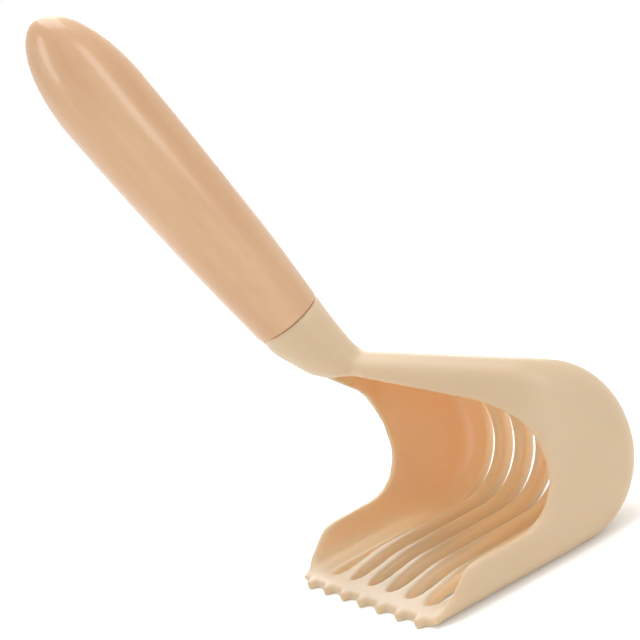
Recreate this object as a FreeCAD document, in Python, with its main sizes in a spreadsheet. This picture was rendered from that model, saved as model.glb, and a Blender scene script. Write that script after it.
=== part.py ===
"""Hand potato ricer: a moulded nylon head with a hooded, slotted plate, glued into a turned beech handle.

Frame: millimetres, +Z up. The mashing plate lies flat on Z = 0 with its toothed edge at X = 0,
the hood curls up and over towards +X, and the object is symmetrical about the plane Y = 0.
"""
import FreeCAD, Part
import math
import os
import Sketcher

doc = FreeCAD.newDocument("potato_ricer")

# ---------------------------------------------------------------- driving dimensions
SIZES = {
    # head: side view
    "wall_thickness": 3.0,
    "hood_depth": 90.4,             # toothed edge to the outside of the back
    "crown_back_height": 48.8,      # where the crown line would meet the back
    "crown_front_height": 77.4,     # where the crown line meets the back of the neck
    "neck_root_depth": 30.2,        # how far behind the teeth that meeting point lies
    "lower_back_radius": 28.0,
    "upper_back_radius": 32.0,
    # head: seen from above
    "mouth_half_width": 48.0,
    "belly_half_width": 50.6,
    "belly_start": 54.4,            # from here back the side walls are parallel
    "shoulder_half_width": 20.8,    # at the neck root, measured along the crown
    "flank_angle": 40.5,            # how fast the shoulders widen from the neck
    "flank_radius": 22.0,
    "neck_half_width": 12.0,
    "flank_reach": 31.0,            # how far below the crown the shoulders keep their shape
    "mouth_reach": 24.0,            # how far above the table the plate's side walls keep theirs
    # neck and seam
    "neck_length": 24.6,            # seam to neck root, along the handle's axis
    "neck_back": 10.4,              # handle's axis to the back of the neck
    "handle_lean": 20.9,            # lean of the handle from upright, towards the teeth
    "neck_bend_radius": 10.0,
    "neck_bend_thickness": 15.8,
    "neck_end_thickness": 9.5,
    "neck_end_half_width": 20.0,
    "seam_radius": 11.5,
    # teeth, slots and ribs
    "tooth_pitch": 12.3,
    "tooth_length": 2.4,
    "tooth_half_width": 1.9,
    "slot_pitch": 12.7,
    "slot_width": 6.4,
    "slot_front": 8.9,              # tips of the slots behind the tips of the teeth
    "slot_top": 33.8,
    "slot_taper": 11.0,             # length of the pointed end of a slot
    "rib_height": 2.6,
    "rib_rise": 17.0,               # how far behind the slot tips a rib reaches its full height
    "rib_round": 2.3,               # round along a rib's crest
    "rib_top": 44.8,                # height at which a rib runs out into the back
    "tip_chamfer": 0.8,             # bevel on the corners of a tooth
    # handle, tang and glue
    "handle_length": 118.0,
    "handle_radius": 14.45,
    "handle_widest": 87.0,          # distance of the widest place from the seam
    "tang_length": 44.0,
    "tang_radius": 6.0,
    "glue_gap": 0.25,
    "seam_round": 0.4,              # round on the handle's lower edge
    # window: the open mouth of the hood, seen from the side
    "rim_height": 14.4,             # top of the side walls along the plate
    "rim_front": 17.5,              # where those walls start to fall towards the teeth
    "rim_foot": 5.0,                # where they reach the plate
    "window_depth": 54.4,
    "window_top": 48.1,             # height of the sloping upper rim above the deepest point
    "window_slope": 36.0,           # fall of the upper rim from the neck
    "window_lower_radius": 17.4,
    "window_upper_radius": 29.0,
    "rim_shoulder_radius": 11.0,
    "rim_foot_radius": 6.0,
    "edge_radius": 8.5,             # round between side walls and plate, back and crown
}
CLEAR = 30.0                        # how far a cutting outline runs past the material

sheet = doc.addObject("Spreadsheet::Sheet", "Dims")
for row, (alias, value) in enumerate(SIZES.items(), start=1):
    sheet.set(f"A{row}", alias)
    sheet.set(f"B{row}", str(value))
    sheet.setAlias(f"B{row}", alias)
doc.recompute()


def number(expression):
    """Value of an expression over the sheet, as a plain number."""
    value = sheet.evalExpression(str(expression))
    return getattr(value, "Value", value)


def new_body(label):
    body = doc.addObject("PartDesign::Body", label)
    body.Label = label
    return body


def new_sketch(body, name, role, base=(0, 0, 0), tilt=0):
    """A sketch on one of the body's own planes, moved to base and turned about Y by tilt (expressions)."""
    sketch = body.newObject("Sketcher::SketchObject", name)
    plane = next(item for item in body.Origin.OriginFeatures if item.Role == role)
    sketch.AttachmentSupport = [(plane, "")]
    sketch.MapMode = "FlatFace"
    offset = FreeCAD.Placement(FreeCAD.Vector(*[number(part) for part in base]),
                               FreeCAD.Rotation(FreeCAD.Vector(0, 1, 0), number(tilt)))
    sketch.AttachmentOffset = offset
    for axis, part in zip("xyz", base):
        sketch.setExpression(f"AttachmentOffset.Base.{axis}", str(part))
    sketch.setExpression("AttachmentOffset.Rotation.Angle", str(tilt))
    return sketch


def polygon(sketch, corners):
    """Add a closed outline whose corners are pairs of expressions over the sheet."""
    first = sketch.GeometryCount
    points = [FreeCAD.Vector(number(x), number(y), 0) for x, y in corners]
    count = len(points)
    for index in range(count):
        sketch.addGeometry(Part.LineSegment(points[index], points[(index + 1) % count]), False)
    for index in range(count):
        follower = first + (index + 1) % count
        sketch.addConstraint(Sketcher.Constraint("Coincident", first + index, 2, follower, 1))
    for index, corner in enumerate(corners):
        for kind, expression in zip(("DistanceX", "DistanceY"), corner):
            constraint = Sketcher.Constraint(kind, -1, 1, first + index, 1, number(expression))
            slot = sketch.addConstraint(constraint)
            sketch.setExpression(f"Constraints[{slot}]", str(expression))
    return sketch


def pad(body, name, sketch, length):
    """Pad the sketch by length, half of it to each side."""
    feature = body.newObject("PartDesign::Pad", name)
    feature.Profile = sketch
    feature.SideType = "Symmetric"
    feature.setExpression("Length", length)
    doc.recompute()
    return feature


def pocket(body, name, sketch, length, reverse=False, symmetric=False):
    feature = body.newObject("PartDesign::Pocket", name)
    feature.Profile = sketch
    feature.SideType = "Symmetric" if symmetric else "One side"
    feature.Reversed = reverse
    before = body.Shape.Volume
    feature.setExpression("Length", length)
    doc.recompute()
    if not feature.Shape.Volume < before - 1e-6:
        raise RuntimeError(f"{name} cuts nothing")
    return feature


def round_edges(body, name, radius, wanted):
    """Fillet the edges of the body's last feature that the wanted function picks."""
    base = body.Tip
    names = [f"Edge{index}" for index, edge in enumerate(base.Shape.Edges, start=1)
             if not edge.Degenerated and wanted(edge)]
    feature = body.newObject("PartDesign::Fillet", name)
    feature.Base = (base, names)
    feature.setExpression("Radius", radius)
    doc.recompute()
    return feature


def runs_along(edge, axis):
    """True for a straight edge parallel to the axis."""
    if edge.Curve.TypeId != "Part::GeomLine":
        return False
    return abs(abs(edge.Curve.Direction.dot(axis)) - 1) < 1e-6


# ---------------------------------------------------------------- hood
FALL = ("((Dims.crown_front_height - Dims.crown_back_height)"
        " / (Dims.hood_depth - Dims.neck_root_depth))")
SLOPE = f"(atan({FALL}) / 1 deg)"


UPPER_RADIUS = ("min(Dims.upper_back_radius; 0.98 * (Dims.crown_back_height - Dims.lower_back_radius)"
                f" / tan((90 - {SLOPE}) / 2))")


def crown_height(depth, inset):
    """Expression for the crown's height at a depth, inset by a wall."""
    return f"Dims.crown_front_height - ({depth} - Dims.neck_root_depth) * {FALL} - ({inset}) * sqrt(1 + {FALL}^2)"


NOSE_SHARE = 0.85                   # keeps the hood's nose just behind the point where its flanks reach the neck


def half_at_root(inset):
    """Expression for the shoulders' half width at the neck root."""
    return f"(Dims.shoulder_half_width - ({inset}) / cos(Dims.flank_angle))"


def half_neck(inset):
    return f"(Dims.neck_half_width - ({inset}))"


def cut_flanks(body, label, inset):
    """Narrow the hood towards the neck with two cuts square to the crown, one on each side."""
    slope = SLOPE
    lift = "Dims.edge_radius"
    base = (f"Dims.neck_root_depth + {lift} * sin({slope})", 0,
            f"Dims.crown_front_height + {lift} * cos({slope})")
    at_root = half_at_root(inset)
    neck = half_neck(inset)
    far_out = f"(Dims.belly_half_width + {CLEAR})"
    for side, sign in (("far", ""), ("near", "-")):
        flank = new_sketch(body, f"{label}_flank_{side}", "XY_Plane", base, slope)
        polygon(flank, [(f"-2 * {CLEAR}", f"{sign}{neck}"),
                        (f"({neck} - {at_root}) / tan(Dims.flank_angle)", f"{sign}{neck}"),
                        (f"({far_out} - {at_root}) / tan(Dims.flank_angle)", f"{sign}{far_out}"),
                        (f"-2 * {CLEAR}", f"{sign}{far_out}")])
        pocket(body, f"{label}_flank_cut_{side}", flank, f"{lift} + Dims.flank_reach")
    upright = crown_normal()

    def corner(edge):
        return runs_along(edge, upright) and abs(edge.CenterOfMass.y) > number(f"{far_out} - {CLEAR} - ({inset})") - 1e-4

    round_edges(body, label + "_flank_corner", f"Dims.flank_radius - ({inset})", corner)


def cut_mouth(body, label, inset):
    """Taper the side walls of the plate towards the toothed edge."""
    wide = f"(Dims.belly_half_width - ({inset}))"
    taper = "((Dims.belly_half_width - Dims.mouth_half_width) / Dims.belly_start)"
    front = f"(-4 * ({inset}) - 1)"
    for side, sign in (("far", ""), ("near", "-")):
        wedge = new_sketch(body, f"{label}_mouth_{side}", "XY_Plane", (0, 0, -1))
        polygon(wedge, [(front, f"{sign}({wide} - {taper} * (Dims.belly_start - {front}))"),
                        ("Dims.belly_start", f"{sign}{wide}"),
                        (front, f"{sign}{wide}")])
        pocket(body, f"{label}_mouth_cut_{side}", wedge, "1 + Dims.mouth_reach", reverse=True)


def crown_normal():
    fall = number(FALL)
    return FreeCAD.Vector(fall, 0, 1).normalize()


def long_edge_test(inset):
    """Picks the edges where the side walls meet the plate, the back and the crown."""
    bottom = number(inset)
    back = number(f"Dims.hood_depth - ({inset})")
    crown = FreeCAD.Vector(back, 0, number(crown_height(back, inset)))
    normal = crown_normal()
    across = FreeCAD.Vector(0, 1, 0)
    neck = number(half_neck(inset))

    def wanted(edge):
        points = edge.discretize(5)
        if min(abs(point.y) for point in points) < neck - 1e-4 or runs_along(edge, across):
            return False
        if edge.Curve.TypeId == "Part::GeomCircle" and abs(edge.Curve.Axis.y) > 1 - 1e-6:
            return True
        on_bottom = all(abs(point.z - bottom) < 1e-4 for point in points)
        on_back = all(abs(point.x - back) < 1e-4 for point in points)
        on_crown = all(abs((point - crown).dot(normal)) < 1e-4 for point in points)
        return on_bottom or on_back or on_crown

    return wanted


def hood(label, inset):
    """The hood as a solid block, inset all round by a wall: its skin, or the hollow inside it."""
    body = new_body(label)
    front = f"-4 * ({inset})"
    back = f"Dims.hood_depth - ({inset})"
    nose = f"Dims.neck_root_depth - {NOSE_SHARE} * ({half_at_root(inset)} - {half_neck(inset)}) / tan(Dims.flank_angle)"
    profile = new_sketch(body, label + "_profile", "XZ_Plane")
    polygon(profile, [(front, inset),
                      (back, inset),
                      (back, crown_height(back, inset)),
                      (nose, crown_height(nose, inset)),
                      (nose, "Dims.crown_back_height"),
                      (front, "Dims.wall_thickness * 6")])
    pad(body, label + "_block", profile, f"2 * (Dims.belly_half_width - ({inset}))")
    across = FreeCAD.Vector(0, 1, 0)
    back_depth = number(back)

    def lower(edge):
        return runs_along(edge, across) and edge.CenterOfMass.x > back_depth - 1e-4 and edge.CenterOfMass.z < 10

    def upper(edge):
        return runs_along(edge, across) and edge.CenterOfMass.x > back_depth - 1e-4 and edge.CenterOfMass.z > 10

    round_edges(body, label + "_lower_back", f"Dims.lower_back_radius - ({inset})", lower)
    round_edges(body, label + "_upper_back", f"{UPPER_RADIUS} - ({inset})", upper)
    cut_flanks(body, label, inset)
    cut_mouth(body, label, inset)
    round_edges(body, label + "_long_edges", f"Dims.edge_radius - ({inset})", long_edge_test(inset))
    return body


skin = hood("hood_skin", "0")
hollow = hood("hood_hollow", "Dims.wall_thickness")


def window_tool():
    """Everything inside the C of the two rims, cut right through from side to side."""
    body = new_body("window")
    outline = new_sketch(body, "window_outline", "XZ_Plane")
    nose = f"(Dims.neck_root_depth - {NOSE_SHARE} * Dims.neck_half_width)"
    top = f"Dims.window_top + (Dims.window_depth - {nose}) * tan(Dims.window_slope)"
    polygon(outline, [(f"-{CLEAR}", "Dims.wall_thickness"),
                      ("Dims.rim_foot", "Dims.wall_thickness"),
                      ("Dims.rim_front", "Dims.rim_height"),
                      ("Dims.window_depth", "Dims.rim_height"),
                      ("Dims.window_depth", "Dims.window_top"),
                      (nose, top),
                      (f"-{CLEAR}", f"{top} - {CLEAR}")])
    pad(body, "window_block", outline, f"2 * (Dims.belly_half_width + {CLEAR})")
    across = FreeCAD.Vector(0, 1, 0)

    def at(depth, height):
        place = FreeCAD.Vector(number(depth), 0, number(height))
        return lambda edge: runs_along(edge, across) and edge.CenterOfMass.distanceToPoint(place) < 1e-3

    round_edges(body, "window_lower", "Dims.window_lower_radius", at("Dims.window_depth", "Dims.rim_height"))
    round_edges(body, "window_upper", "Dims.window_upper_radius", at("Dims.window_depth", "Dims.window_top"))
    round_edges(body, "window_shoulder", "Dims.rim_shoulder_radius", at("Dims.rim_front", "Dims.rim_height"))
    round_edges(body, "window_foot", "Dims.rim_foot_radius", at("Dims.rim_foot", "Dims.wall_thickness"))
    return body


def seam_point(along, across):
    """Expressions for depth and height of a point in the handle's own axes, from the middle of the seam."""
    lean = "Dims.handle_lean"
    rise = f"(Dims.neck_length + ({along}))"
    out = f"(({across}) - Dims.neck_back)"
    depth = f"Dims.neck_root_depth - {rise} * sin({lean}) + {out} * cos({lean})"
    height = f"Dims.crown_front_height + {rise} * cos({lean}) + {out} * sin({lean})"
    return depth, height


ROUND_ENOUGH = 1.0005               # a round section stays an ellipse, so that the loft starts every section alike


def ellipse(sketch, along, half_long, half_short):
    """Add a bound ellipse round the sketch's origin; along is the axis ("X" or "Y") of its longer side."""
    long, short = number(half_long), number(half_short)
    if along == "X":
        ends = FreeCAD.Vector(long, 0, 0), FreeCAD.Vector(0, short, 0)
    else:
        ends = FreeCAD.Vector(0, long, 0), FreeCAD.Vector(-short, 0, 0)
    curve = sketch.addGeometry(Part.Ellipse(*ends, FreeCAD.Vector(0, 0, 0)), False)
    sketch.exposeInternalGeometry(curve)
    major, minor = curve + 1, curve + 2
    sketch.addConstraint(Sketcher.Constraint("Coincident", curve, 3, -1, 1))
    sketch.addConstraint(Sketcher.Constraint("Horizontal" if along == "X" else "Vertical", major))
    for line, half in ((major, half_long), (minor, half_short)):
        slot = sketch.addConstraint(Sketcher.Constraint("Distance", line, 1, line, 2, 2 * number(half)))
        sketch.setExpression(f"Constraints[{slot}]", f"2 * ({half})")
    return sketch


def oval_sketch(body, name, middle, tilt, half_thickness, half_width):
    """An oval section whose thickness lies in the plane Y = 0; middle is a pair of expressions."""
    sketch = new_sketch(body, name, "XY_Plane", (middle[0], 0, middle[1]), tilt)
    return ellipse(sketch, "Y", f"max({half_width}; {half_thickness} * {ROUND_ENOUGH})", half_thickness)


STRAIGHT_STEPS = 4
BEND_STEPS = 3


def blend(start, end, share):
    """Expression for a size part of the way from start to end."""
    return f"({start} + {share} * ({end} - {start}))"


def neck():
    """A round bar below the seam that bends backwards and flattens into the crown."""
    body = new_body("neck")
    lean = "Dims.handle_lean"
    end_tilt = f"(90 - {SLOPE})"
    half_turn = f"(({end_tilt} - {lean}) / 2)"
    straight = f"(Dims.neck_length - Dims.neck_bend_radius * tan({half_turn}))"
    sections = []
    for step in range(STRAIGHT_STEPS):
        share = step / STRAIGHT_STEPS
        thickness = blend("2 * Dims.seam_radius", "Dims.neck_bend_thickness", share ** 1.3)
        to_back = blend("Dims.seam_radius", "Dims.neck_back", 1 - (1 - share) ** 2)
        middle = seam_point(f"-{share} * {straight}", f"{to_back} - {thickness} / 2")
        width = blend("Dims.seam_radius", "Dims.neck_half_width", share)
        sections.append(oval_sketch(body, f"neck_straight_{step}", middle, f"-{lean}", f"{thickness} / 2", width))
    pivot = seam_point(f"-{straight}", "Dims.neck_back + Dims.neck_bend_radius")
    for step in range(BEND_STEPS + 1):
        share = step / BEND_STEPS
        tilt = blend(lean, end_tilt, share)
        thickness = blend("Dims.neck_bend_thickness", "Dims.neck_end_thickness", 1 - (1 - share) ** 2)
        width = blend("Dims.neck_half_width", "Dims.neck_end_half_width", share ** 1.5)
        reach = f"(Dims.neck_bend_radius + {thickness} / 2)"
        middle = (f"{pivot[0]} - {reach} * cos({tilt})", f"{pivot[1]} - {reach} * sin({tilt})")
        sections.append(oval_sketch(body, f"neck_bend_{step}", middle, f"-{tilt}", f"{thickness} / 2", width))
    loft = body.newObject("PartDesign::AdditiveLoft", "neck_loft")
    loft.Profile = sections[0]
    loft.Sections = sections[1:]
    doc.recompute()
    return body


def boolean(kind, label, base, tool):
    result = doc.addObject(f"Part::{kind}", label)
    result.Base = base
    result.Tool = tool
    result.Refine = True
    doc.recompute()
    return result


TOOTH_COUNT = 7
SLOT_COUNT = 6
OVERLAP = 0.4                       # how far a rib's root reaches into the wall
PROUD = 1.0                         # how far a cutting tool stands out of the face it cuts


def row_of(count, pitch):
    """Expressions for the places of count things in a row across the head, pitch apart."""
    return [f"{index - (count - 1) / 2} * {pitch}" for index in range(count)]


def one_side_pad(body, name, sketch, length, reverse=False):
    feature = body.newObject("PartDesign::Pad", name)
    feature.Profile = sketch
    feature.Reversed = reverse
    feature.setExpression("Length", length)
    doc.recompute()
    return feature


def slot_tool(index, place):
    """Cutter for one slot: a long prism down through the plate and another out through the back."""
    body = new_body(f"slot_{index}")
    half = "Dims.slot_width / 2"
    turn = "(Dims.hood_depth - Dims.lower_back_radius)"
    straight = "(Dims.slot_front + Dims.slot_taper)"
    deepest = f"({turn} + 0.55 * Dims.lower_back_radius)"
    lowest = "(0.15 * Dims.lower_back_radius)"
    floor = new_sketch(body, f"slot_{index}_floor", "XY_Plane", (0, 0, f"-{PROUD}"))
    polygon(floor, [(straight, f"-{half}"), (deepest, f"-{half}"), (deepest, half), (straight, half)])
    through_plate = f"{PROUD} + 0.5 * Dims.lower_back_radius"
    one_side_pad(body, f"slot_{index}_plate", floor, through_plate)
    tip = new_sketch(body, f"slot_{index}_tip", "XY_Plane", (straight, 0, f"-{PROUD}"))
    ellipse(tip, "X", "Dims.slot_taper", half)
    one_side_pad(body, f"slot_{index}_point", tip, through_plate)
    start = f"({turn} + 0.4 * Dims.lower_back_radius)"
    upright = new_sketch(body, f"slot_{index}_upright", "YZ_Plane", (0, 0, start))
    shoulder = "(Dims.slot_top - Dims.slot_taper)"
    polygon(upright, [(f"-{half}", lowest), (half, lowest), (half, shoulder), (f"-{half}", shoulder)])
    through_back = f"Dims.hood_depth + {PROUD} - {start}"
    one_side_pad(body, f"slot_{index}_back", upright, through_back)
    top = new_sketch(body, f"slot_{index}_top", "YZ_Plane", (0, shoulder, start))
    ellipse(top, "Y", "Dims.slot_taper", half)
    one_side_pad(body, f"slot_{index}_head", top, through_back)
    body.setExpression("Placement.Base.y", place)
    doc.recompute()
    return body


def rib_tool(index, place):
    """One raised rib between two slots: a curved bar on the plate and the back, with a rounded top."""
    body = new_body(f"rib_{index}")
    root = f"(Dims.wall_thickness - Dims.rib_round - {OVERLAP})"
    crest = "(Dims.wall_thickness + Dims.rib_height)"
    root_back = f"(Dims.hood_depth - {root})"
    crest_back = f"(Dims.hood_depth - {crest})"
    root_top = crown_height(root_back, root)
    crest_top = crown_height(crest_back, crest)
    crown_front = "(Dims.hood_depth / 2)"
    side = new_sketch(body, f"rib_{index}_side", "XZ_Plane")
    polygon(side, [("Dims.slot_front", root),
                   (root_back, root),
                   (root_back, root_top),
                   (crown_front, crown_height(crown_front, root)),
                   (crown_front, crown_height(crown_front, crest)),
                   (crest_back, crest_top),
                   (crest_back, crest),
                   ("Dims.slot_front + Dims.rib_rise", crest),
                   ("Dims.slot_front", "Dims.wall_thickness")])
    width = f"(Dims.slot_pitch - Dims.slot_width + {OVERLAP})"
    pad(body, f"rib_{index}_bar", side, width)
    across = FreeCAD.Vector(0, 1, 0)

    def at(depth, height):
        spot = FreeCAD.Vector(number(depth), 0, number(height))
        return lambda edge: runs_along(edge, across) and edge.CenterOfMass.distanceToPoint(spot) < 1e-3

    round_edges(body, f"rib_{index}_bend", f"Dims.lower_back_radius - {crest}", at(crest_back, crest))
    round_edges(body, f"rib_{index}_bend_top", f"{UPPER_RADIUS} - {crest}", at(crest_back, crest_top))
    round_edges(body, f"rib_{index}_root", f"Dims.lower_back_radius - {root}", at(root_back, root))
    round_edges(body, f"rib_{index}_root_top", f"{UPPER_RADIUS} - {root}", at(root_back, root_top))
    round_edges(body, f"rib_{index}_rise", "2 * Dims.rib_rise", at("Dims.slot_front + Dims.rib_rise", crest))
    turn_height = f"(Dims.crown_back_height - {UPPER_RADIUS} * tan((90 - {SLOPE}) / 2))"
    inner_radius = f"({UPPER_RADIUS} - Dims.wall_thickness)"
    run_out = (f"(Dims.hood_depth - {UPPER_RADIUS}"
               f" + sqrt({inner_radius}^2 - (Dims.rib_top - {turn_height})^2))")
    beyond = f"(Dims.crown_front_height + {CLEAR})"
    end = new_sketch(body, f"rib_{index}_end", "XZ_Plane")
    polygon(end, [(0, turn_height),
                  (crest_back, turn_height),
                  (run_out, "Dims.rib_top"),
                  ("Dims.hood_depth", "Dims.rib_top"),
                  ("Dims.hood_depth", beyond),
                  (0, beyond)])
    pocket(body, f"rib_{index}_run_out", end, f"2 * {width}", symmetric=True)
    lower, upper = number(turn_height) + 1, number("Dims.rib_top") - 1

    def at_run_out(edge):
        return runs_along(edge, across) and lower < edge.CenterOfMass.z < upper

    round_edges(body, f"rib_{index}_ease", "16 * Dims.rib_height", at_run_out)
    flank = number(f"{width} / 2")
    wall = hollow.Shape

    def on_crest(edge):
        spot = edge.valueAt((edge.FirstParameter + edge.LastParameter) / 2)
        if abs(abs(spot.y) - flank) > 1e-4:
            return False
        spot.y = 0
        return wall.isInside(spot, 1e-3, False) and not runs_along(edge, across)

    round_edges(body, f"rib_{index}_crest", "Dims.rib_round", on_crest)
    body.setExpression("Placement.Base.y", place)
    doc.recompute()
    return body


def tooth_gap(index, place, half):
    """Cutter for the gap beside a tooth."""
    body = new_body(f"tooth_gap_{index}")
    outline = new_sketch(body, f"tooth_gap_{index}_outline", "XY_Plane", (0, 0, f"-{PROUD}"))
    wide = f"({half} + Dims.tip_chamfer)"
    polygon(outline, [(f"-{PROUD}", f"-{wide}"),
                      (0, f"-{wide}"),
                      ("Dims.tip_chamfer", f"-{half}"),
                      ("Dims.tooth_length", f"-{half}"),
                      ("Dims.tooth_length", half),
                      ("Dims.tip_chamfer", half),
                      (0, wide),
                      (f"-{PROUD}", wide)])
    one_side_pad(body, f"tooth_gap_{index}_block", outline, f"Dims.wall_thickness + 2 * {PROUD}")
    upright = FreeCAD.Vector(0, 0, 1)
    deep = number("Dims.tooth_length")

    def corner(edge):
        return runs_along(edge, upright) and abs(edge.CenterOfMass.x - deep) < 1e-4

    round_edges(body, f"tooth_gap_{index}_corners", "0.9 * (Dims.tooth_length - Dims.tip_chamfer)", corner)
    body.setExpression("Placement.Base.y", place)
    doc.recompute()
    return body


def lean_with_handle(item, along="0"):
    """Stand a part on the handle's axis, its own Z along the axis, starting at a distance from the seam."""
    base = seam_point(along, "0")
    item.Placement = FreeCAD.Placement(FreeCAD.Vector(number(base[0]), 0, number(base[1])),
                                       FreeCAD.Rotation(FreeCAD.Vector(0, 1, 0), -number("Dims.handle_lean")))
    item.setExpression("Placement.Base.x", base[0])
    item.setExpression("Placement.Base.z", base[1])
    item.setExpression("Placement.Rotation.Angle", "-Dims.handle_lean")


def disc(body, name, radius, height):
    """A bound circle round the body's own Z axis."""
    sketch = new_sketch(body, name, "XY_Plane", (0, 0, height))
    circle = Part.Circle(FreeCAD.Vector(0, 0, 0), FreeCAD.Vector(0, 0, 1), number(radius))
    curve = sketch.addGeometry(circle, False)
    sketch.addConstraint(Sketcher.Constraint("Coincident", curve, 3, -1, 1))
    slot = sketch.addConstraint(Sketcher.Constraint("Radius", curve, number(radius)))
    sketch.setExpression(f"Constraints[{slot}]", radius)
    return sketch


BORE_RADIUS = "(Dims.tang_radius + Dims.glue_gap)"
BORE_DEPTH = "(Dims.tang_length + Dims.glue_gap)"


def tang():
    """The rod on top of the neck that sits in the handle; its foot is buried in the neck."""
    rod = doc.addObject("Part::Cylinder", "tang")
    rod.setExpression("Radius", "Dims.tang_radius")
    rod.setExpression("Height", "Dims.tang_length + Dims.tang_radius")
    lean_with_handle(rod, "-Dims.tang_radius")
    doc.recompute()
    return rod


def handle():
    """Turned handle: a barrel that swells from the seam to its widest place, and a long domed end."""
    body = new_body("beech_handle")
    swell = "(Dims.handle_radius - Dims.seam_radius)"
    bow = f"((Dims.handle_widest^2 + {swell}^2) / (2 * {swell}))"
    side = new_sketch(body, "handle_side", "XZ_Plane")
    polygon(side, [(0, 0),
                   ("Dims.seam_radius", 0),
                   ("Dims.handle_radius", "Dims.handle_widest"),
                   (0, "Dims.handle_widest")])
    side.setConstruction(1, True)
    centre = FreeCAD.Vector(number(f"Dims.handle_radius - {bow}"), number("Dims.handle_widest"), 0)
    start = math.asin(-number("Dims.handle_widest") / number(bow))
    circle = Part.Circle(centre, FreeCAD.Vector(0, 0, 1), number(bow))
    arc = side.addGeometry(Part.ArcOfCircle(circle, start, 0), False)
    side.addConstraint(Sketcher.Constraint("Coincident", arc, 1, 1, 1))
    side.addConstraint(Sketcher.Constraint("Coincident", arc, 2, 1, 2))
    slot = side.addConstraint(Sketcher.Constraint("Radius", arc, number(bow)))
    side.setExpression(f"Constraints[{slot}]", bow)
    barrel = body.newObject("PartDesign::Revolution", "handle_barrel")
    barrel.Profile = side
    barrel.ReferenceAxis = (side, ["V_Axis"])
    barrel.Angle = 360
    doc.recompute()
    dome = body.newObject("PartDesign::AdditiveEllipsoid", "handle_dome")
    plane = next(item for item in body.Origin.OriginFeatures if item.Role == "XY_Plane")
    dome.AttachmentSupport = [(plane, "")]
    dome.MapMode = "FlatFace"
    dome.setExpression("AttachmentOffset.Base.z", "Dims.handle_widest")
    dome.setExpression("Radius1", "Dims.handle_length - Dims.handle_widest")
    dome.setExpression("Radius2", "Dims.handle_radius")
    dome.setExpression("Radius3", "Dims.handle_radius")
    dome.Angle1 = 0
    dome.Angle2 = 90
    doc.recompute()
    pocket(body, "handle_bore", disc(body, "handle_bore_end", BORE_RADIUS, 0), BORE_DEPTH, reverse=True)
    rim = number("Dims.seam_radius")

    def lower_edge(edge):
        curve = edge.Curve
        return curve.TypeId == "Part::GeomCircle" and abs(curve.Radius - rim) < 1e-4 and abs(curve.Center.z) < 1e-4

    round_edges(body, "handle_lower_edge", "Dims.seam_round", lower_edge)
    lean_with_handle(body)
    return body


def glue():
    """Thin cup of glue that fills the space between tang and bore."""
    body = new_body("tang_glue")
    one_side_pad(body, "glue_block", disc(body, "glue_outside", BORE_RADIUS, 0), BORE_DEPTH)
    pocket(body, "glue_inside", disc(body, "glue_hole", "Dims.tang_radius", 0), "Dims.tang_length", reverse=True)
    lean_with_handle(body)
    return body


def many(kind, label, shapes):
    result = doc.addObject(f"Part::{kind}", label)
    result.Shapes = shapes
    result.Refine = True
    doc.recompute()
    return result


window = window_tool()
stem = many("MultiFuse", "stem", [neck(), tang()])
solid_head = boolean("Fuse", "solid_head", skin, stem)
shell = boolean("Cut", "hood_walls", solid_head, hollow)
hood_open = boolean("Cut", "hood_open", shell, window)
ribs = [rib_tool(index, place) for index, place in enumerate(row_of(SLOT_COUNT - 1, "Dims.slot_pitch"))]
ribbed = many("MultiFuse", "ribbed_head", [hood_open] + ribs)
slots = [slot_tool(index, place) for index, place in enumerate(row_of(SLOT_COUNT, "Dims.slot_pitch"))]
gap_half = "(Dims.tooth_pitch / 2 - Dims.tooth_half_width)"
last_tooth = f"({(TOOTH_COUNT - 1) / 2} * Dims.tooth_pitch + Dims.tooth_half_width)"
gaps = [tooth_gap(index, place, gap_half) for index, place in enumerate(row_of(TOOTH_COUNT - 1, "Dims.tooth_pitch"))]
outer_half = "(Dims.mouth_half_width / 2)"
gaps.append(tooth_gap(TOOTH_COUNT, f"{last_tooth} + {outer_half}", outer_half))
gaps.append(tooth_gap(TOOTH_COUNT + 1, f"-({last_tooth} + {outer_half})", outer_half))
slotted = boolean("Cut", "slotted_head", ribbed, many("MultiFuse", "slots_and_gaps", slots + gaps))
mashing_head = slotted
mashing_head.Label = "mashing_head"
PARTS = [mashing_head, handle(), glue()]
doc.recompute()

for item in doc.Objects:
    if "Invalid" in item.State or "Error" in item.State:
        raise RuntimeError(f"{item.Label} did not rebuild: {item.State}")
os.makedirs("parts", exist_ok=True)
for part in PARTS:
    if part.Shape.isNull() or not part.Shape.isValid():
        raise RuntimeError(f"{part.Label} has no valid shape")
    part.Shape.exportStep(f"parts/{part.Label}.step")
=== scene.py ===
"""Hand potato ricer on a white table: moulded nylon head, lacquered beech handle."""
import bmesh
import bpy
import math
from mathutils import Matrix, Vector


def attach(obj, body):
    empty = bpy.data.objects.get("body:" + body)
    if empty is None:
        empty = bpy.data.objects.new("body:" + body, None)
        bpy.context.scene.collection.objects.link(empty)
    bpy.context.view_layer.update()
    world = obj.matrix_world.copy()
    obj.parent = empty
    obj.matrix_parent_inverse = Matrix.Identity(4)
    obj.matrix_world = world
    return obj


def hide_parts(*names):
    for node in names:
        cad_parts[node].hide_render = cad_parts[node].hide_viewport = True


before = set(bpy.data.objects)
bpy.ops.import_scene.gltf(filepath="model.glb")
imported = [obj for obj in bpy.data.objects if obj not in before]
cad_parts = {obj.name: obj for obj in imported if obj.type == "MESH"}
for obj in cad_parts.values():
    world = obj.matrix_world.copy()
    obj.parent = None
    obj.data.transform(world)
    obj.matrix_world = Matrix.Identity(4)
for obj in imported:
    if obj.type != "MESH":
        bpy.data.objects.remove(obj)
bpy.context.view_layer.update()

MM = 0.001
HANDLE_LEAN = math.radians(20.9)        # lean of the handle from upright
TOOTH_REACH = 5 * MM                    # the teeth lie within this of the front edge and of the table
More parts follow.
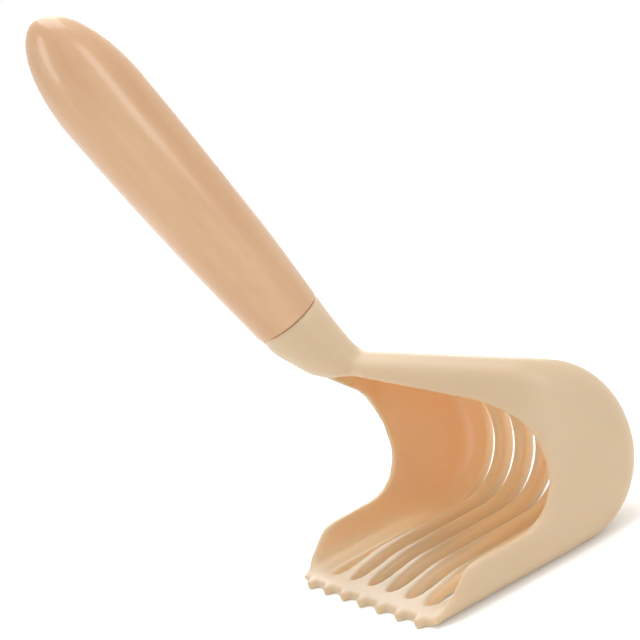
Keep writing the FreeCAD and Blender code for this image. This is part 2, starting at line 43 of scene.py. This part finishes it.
MIX_SHARE, MIX_FIRST, MIX_SECOND, MIXED = 0, 6, 7, 2    # sockets of a Mix node that mixes colours


def linear(hex_colour):
    """An sRGB hex colour as linear red, green, blue and full alpha."""
    parts = [int(hex_colour[i:i + 2], 16) / 255 for i in (1, 3, 5)]
    return (*[p / 12.92 if p <= 0.04045 else ((p + 0.055) / 1.055) ** 2.4 for p in parts], 1.0)


def node(tree, kind, settings=None, inputs=None, stops=()):
    """Add a shader node: its settings, its inputs as values or links, and a ramp's places and hex colours."""
    new = tree.nodes.new(kind)
    for name, value in (settings or {}).items():
        setattr(new, name, value)
    for name, value in (inputs or {}).items():
        if isinstance(value, bpy.types.NodeSocket):
            tree.links.new(value, new.inputs[name])
        else:
            new.inputs[name].default_value = value
    for index, (place, colour) in enumerate(stops):
        elements = new.color_ramp.elements
        element = elements[index] if index < 2 else elements.new(place)
        element.position = place
        element.color = linear(colour)
    return new


def new_material(name):
    material = bpy.data.materials.new(name)
    material.use_nodes = True
    material.node_tree.nodes.clear()
    return material, material.node_tree


# ---------------------------------------------------------------- materials
def moulded_nylon():
    """Glass-filled nylon, injection moulded in a satin tool: a soft sheen with a very fine, faint grain."""
    material, tree = new_material("moulded_nylon")
    place = node(tree, "ShaderNodeTexCoord").outputs["Object"]
    # slow drift of tone over some 40 mm, as thick mouldings have
    drift = node(tree, "ShaderNodeTexNoise", inputs={"Vector": place, "Scale": 1 / (40 * MM), "Detail": 2.0})
    outside = node(tree, "ShaderNodeValToRGB", inputs={"Fac": drift.outputs["Fac"]},
                   stops=[(0.35, "#C3AC8B"), (0.65, "#C7B090")])
    # painted light: where the ambient-occlusion node finds the hood enclosing the nylon, its colour is
    # painted warmer and brighter, standing in for light that passes through the thin walls and bounces inside
    depth = node(tree, "ShaderNodeAmbientOcclusion", {"only_local": True, "samples": 8},
                 {"Distance": 60 * MM})
    painted_glow_share = node(tree, "ShaderNodeValToRGB", inputs={"Fac": depth.outputs["AO"]},
                    stops=[(0.45, "#FFFFFF"), (0.9, "#000000")])
    # painted glow: the warm pale colour is mixed into the nylon inside the hood
    tone = node(tree, "ShaderNodeMix", {"data_type": "RGBA"}, {
        MIX_SHARE: painted_glow_share.outputs["Color"], MIX_FIRST: outside.outputs["Color"],
        MIX_SECOND: linear("#F3D2A3")})
    # tool grain of about 0.6 mm
    grain = node(tree, "ShaderNodeTexNoise", inputs={"Vector": place, "Scale": 1 / (0.6 * MM), "Detail": 3.0})
    rough = node(tree, "ShaderNodeMapRange", inputs={
        "Value": grain.outputs["Fac"], "From Min": 0.3, "From Max": 0.7, "To Min": 0.36, "To Max": 0.46})
    bump = node(tree, "ShaderNodeBump", inputs={
        "Height": grain.outputs["Fac"], "Strength": 0.04, "Distance": 0.05 * MM})
    shader = node(tree, "ShaderNodeBsdfPrincipled", inputs={
        "Base Color": tone.outputs[MIXED], "Roughness": rough.outputs["Result"],
        "Normal": bump.outputs["Normal"], "IOR": 1.53, "Subsurface Weight": 0.7,
        "Subsurface Radius": (1.0, 0.45, 0.2), "Subsurface Scale": 3.0 * MM})
    node(tree, "ShaderNodeOutputMaterial", inputs={"Surface": shader.outputs["BSDF"]})
    return material


def lacquered_beech():
    """Steamed beech, turned and clear lacquered: pale wood with short darker ray flecks along the grain."""
    material, tree = new_material("lacquered_beech")
    place = node(tree, "ShaderNodeTexCoord").outputs["Object"]
    along = node(tree, "ShaderNodeMapping", {"vector_type": "POINT"},
                 {"Vector": place, "Rotation": (0, HANDLE_LEAN, 0)}).outputs["Vector"]
    # growth rings: broad soft bands along the handle, some 9 mm apart
    stretched = node(tree, "ShaderNodeMapping", inputs={"Vector": along, "Scale": (1, 1, 0.12)})
    bands = node(tree, "ShaderNodeTexNoise", inputs={
        "Vector": stretched.outputs["Vector"], "Scale": 1 / (9 * MM), "Detail": 3.0, "Roughness": 0.5})
    wood = node(tree, "ShaderNodeValToRGB", inputs={"Fac": bands.outputs["Fac"]},
                stops=[(0.3, "#BE9166"), (0.5, "#C3986E"), (0.7, "#C9A178")])
    # ray flecks: dashes about 0.45 mm wide and ten times as long
    dashes = node(tree, "ShaderNodeMapping", inputs={"Vector": along, "Scale": (1, 1, 0.1)})
    flecks = node(tree, "ShaderNodeTexNoise", inputs={
        "Vector": dashes.outputs["Vector"], "Scale": 1 / (0.45 * MM), "Detail": 1.0})
    fleck_share = node(tree, "ShaderNodeMapRange", inputs={
        "Value": flecks.outputs["Fac"], "From Min": 0.6, "From Max": 0.75, "To Min": 0.0, "To Max": 0.2})
    flecked = node(tree, "ShaderNodeMix", {"data_type": "RGBA"}, {
        MIX_SHARE: fleck_share.outputs["Result"], MIX_FIRST: wood.outputs["Color"],
        MIX_SECOND: linear("#B5855B")})
    shader = node(tree, "ShaderNodeBsdfPrincipled", inputs={
        "Base Color": flecked.outputs[MIXED], "Roughness": 0.5, "IOR": 1.5,
        "Coat Weight": 0.8, "Coat Roughness": 0.2, "Coat IOR": 1.5})
    node(tree, "ShaderNodeOutputMaterial", inputs={"Surface": shader.outputs["BSDF"]})
    return material


def amber_glue():
    """Set resin glue: clear amber with small trapped bubbles; hidden in the joint."""
    material, tree = new_material("amber_glue")
    place = node(tree, "ShaderNodeTexCoord").outputs["Object"]
    # bubbles some 0.8 mm apart
    bubbles = node(tree, "ShaderNodeTexVoronoi", inputs={"Vector": place, "Scale": 1 / (0.8 * MM)})
    tone = node(tree, "ShaderNodeValToRGB", inputs={"Fac": bubbles.outputs["Distance"]},
                stops=[(0.1, "#E2C88C"), (0.5, "#CDA964")])
    shader = node(tree, "ShaderNodeBsdfPrincipled", inputs={
        "Base Color": tone.outputs["Color"], "Roughness": 0.3, "IOR": 1.5})
    node(tree, "ShaderNodeOutputMaterial", inputs={"Surface": shader.outputs["BSDF"]})
    return material


def white_paper():
    """Matt white backing paper with a faint 2 mm fibre, lit a little from within so that it stays white."""
    material, tree = new_material("white_paper")
    place = node(tree, "ShaderNodeTexCoord").outputs["Object"]
    fibre = node(tree, "ShaderNodeTexNoise", inputs={"Vector": place, "Scale": 1 / (2 * MM), "Detail": 2.0})
    tone = node(tree, "ShaderNodeValToRGB", inputs={"Fac": fibre.outputs["Fac"]},
                stops=[(0.3, "#F2F2F2"), (0.7, "#F4F4F4")])
    shader = node(tree, "ShaderNodeBsdfPrincipled", inputs={
        "Base Color": tone.outputs["Color"], "Roughness": 0.9, "Emission Color": (1, 1, 1, 1),
        "Emission Strength": 0.15})
    node(tree, "ShaderNodeOutputMaterial", inputs={"Surface": shader.outputs["BSDF"]})
    return material


# ---------------------------------------------------------------- pieces
def merged_copy(name, cad_node):
    """A new piece with the CAD node's shape, its loose triangles joined."""
    shape = bmesh.new()
    shape.from_mesh(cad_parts[cad_node].data)
    bmesh.ops.remove_doubles(shape, verts=shape.verts, dist=0.002 * MM)
    piece = bpy.data.objects.new(name, bpy.data.meshes.new(name))
    bpy.context.scene.collection.objects.link(piece)
    return piece, shape


def finish_piece(piece, shape, material, replaced):
    for face in shape.faces:
        face.smooth = True
    shape.to_mesh(piece.data)
    shape.free()
    piece.data.materials.append(material)
    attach(piece, "root")
    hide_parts(replaced)


def head_piece(material):
    """The nylon head: an even skin over the CAD shape, its moulded edges softly rounded."""
    piece, shape = merged_copy("nylon_head", "mashing_head")
    finish_piece(piece, shape, material, "mashing_head")
    skin = piece.modifiers.new("even_skin", "REMESH")
    skin.mode = "VOXEL"
    skin.voxel_size = 0.8 * MM
    skin.use_smooth_shade = True
    bpy.context.view_layer.update()
    loose = piece.data
    piece.data = bpy.data.meshes.new_from_object(piece.evaluated_get(bpy.context.evaluated_depsgraph_get()))
    piece.data.name = "nylon_head"
    bpy.data.meshes.remove(loose)
    piece.modifiers.remove(skin)
    # the teeth are small, so their corners are eased less than the rims
    soft = piece.vertex_groups.new(name="soft")
    for vertex in piece.data.vertices:
        tooth = vertex.co.x < TOOTH_REACH and vertex.co.z < TOOTH_REACH
        soft.add([vertex.index], 0.5 if tooth else 1.0, "REPLACE")
    soften = piece.modifiers.new("soft_edges", "SMOOTH")
    soften.factor = 0.5
    soften.iterations = 14
    soften.vertex_group = "soft"


def handle_piece(material):
    """The turned handle, smooth but for the crisp edge at the seam."""
    piece, shape = merged_copy("turned_handle", "beech_handle")
    for edge in shape.edges:
        if len(edge.link_faces) == 2 and edge.calc_face_angle() > math.radians(35):
            edge.smooth = False
    finish_piece(piece, shape, material, "beech_handle")


head_piece(moulded_nylon())
handle_piece(lacquered_beech())
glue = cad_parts["tang_glue"]
glue.data.materials.clear()
glue.data.materials.append(amber_glue())


# ---------------------------------------------------------------- table, light and camera
def table():
    """Paper that reaches 30 m each way, past anything the camera can tell from the horizon."""
    shape = bmesh.new()
    bmesh.ops.create_grid(shape, x_segments=1, y_segments=1, size=30.0)
    paper = bpy.data.objects.new("paper_table", bpy.data.meshes.new("paper_table"))
    shape.to_mesh(paper.data)
    shape.free()
    paper.data.materials.append(white_paper())
    bpy.context.scene.collection.objects.link(paper)


def soft_light(name, place, width, height, watts, diffuse):
    """A softbox facing the tool, in metres and watts; without diffuse it only shows as a soft reflection."""
    light = bpy.data.lights.new(name, "AREA")
    light.shape = "RECTANGLE"
    light.size = width
    light.size_y = height
    light.energy = watts
    item = bpy.data.objects.new(name, light)
    item.visible_diffuse = diffuse
    bpy.context.scene.collection.objects.link(item)
    away = (Vector(place) - Vector((0.02, 0, 0.1))).normalized()
    right = Vector((0, 0, 1)).cross(away).normalized()
    over = away.cross(right)
    item.matrix_world = Matrix.Translation(place) @ Matrix((right, over, away)).transposed().to_4x4()


def camera():
    """Portrait lens, rolled so that the tool's upright leans to the left."""
    lens = bpy.data.cameras.new("view")
    lens.lens = 78.75
    lens.sensor_width = 36.0
    lens.clip_start = 0.01
    lens.clip_end = 100.0
    item = bpy.data.objects.new("view", lens)
    right = Vector((0.82986, -0.44100, -0.34184))
    back = right.cross(Vector((0.37501, -0.01283, 0.92693))).normalized()
    up = back.cross(right.normalized())
    item.matrix_world = (Matrix.Translation(Vector((-162.4, -400.9, 160.4)) * MM)
                         @ Matrix((right.normalized(), up, back)).transposed().to_4x4())
    bpy.context.scene.collection.objects.link(item)
    bpy.context.scene.camera = item


table()
camera()
soft_light("right_strip", (0.38, -1.12, 0.55), 0.4, 1.1, 5.0, False)
soft_light("left_strip", (-1.15, -0.15, 0.6), 0.4, 1.1, 5.0, False)
soft_light("top_box", (0.1, 0.0, 1.3), 0.8, 0.8, 7.0, True)
soft_light("rear_box", (0.25, 0.6, 1.0), 0.7, 0.7, 5.0, False)
soft_light("back_box", (0.55, 1.2, 0.55), 1.2, 0.8, 7.5, False)

world = bpy.data.worlds.new("studio")
world.use_nodes = True
world.node_tree.nodes["Background"].inputs["Color"].default_value = (1, 1, 1, 1)
world.node_tree.nodes["Background"].inputs["Strength"].default_value = 1.0
bpy.context.scene.world = world
bpy.context.scene.view_settings.view_transform = "Standard"

bpy.context.view_layer.update()
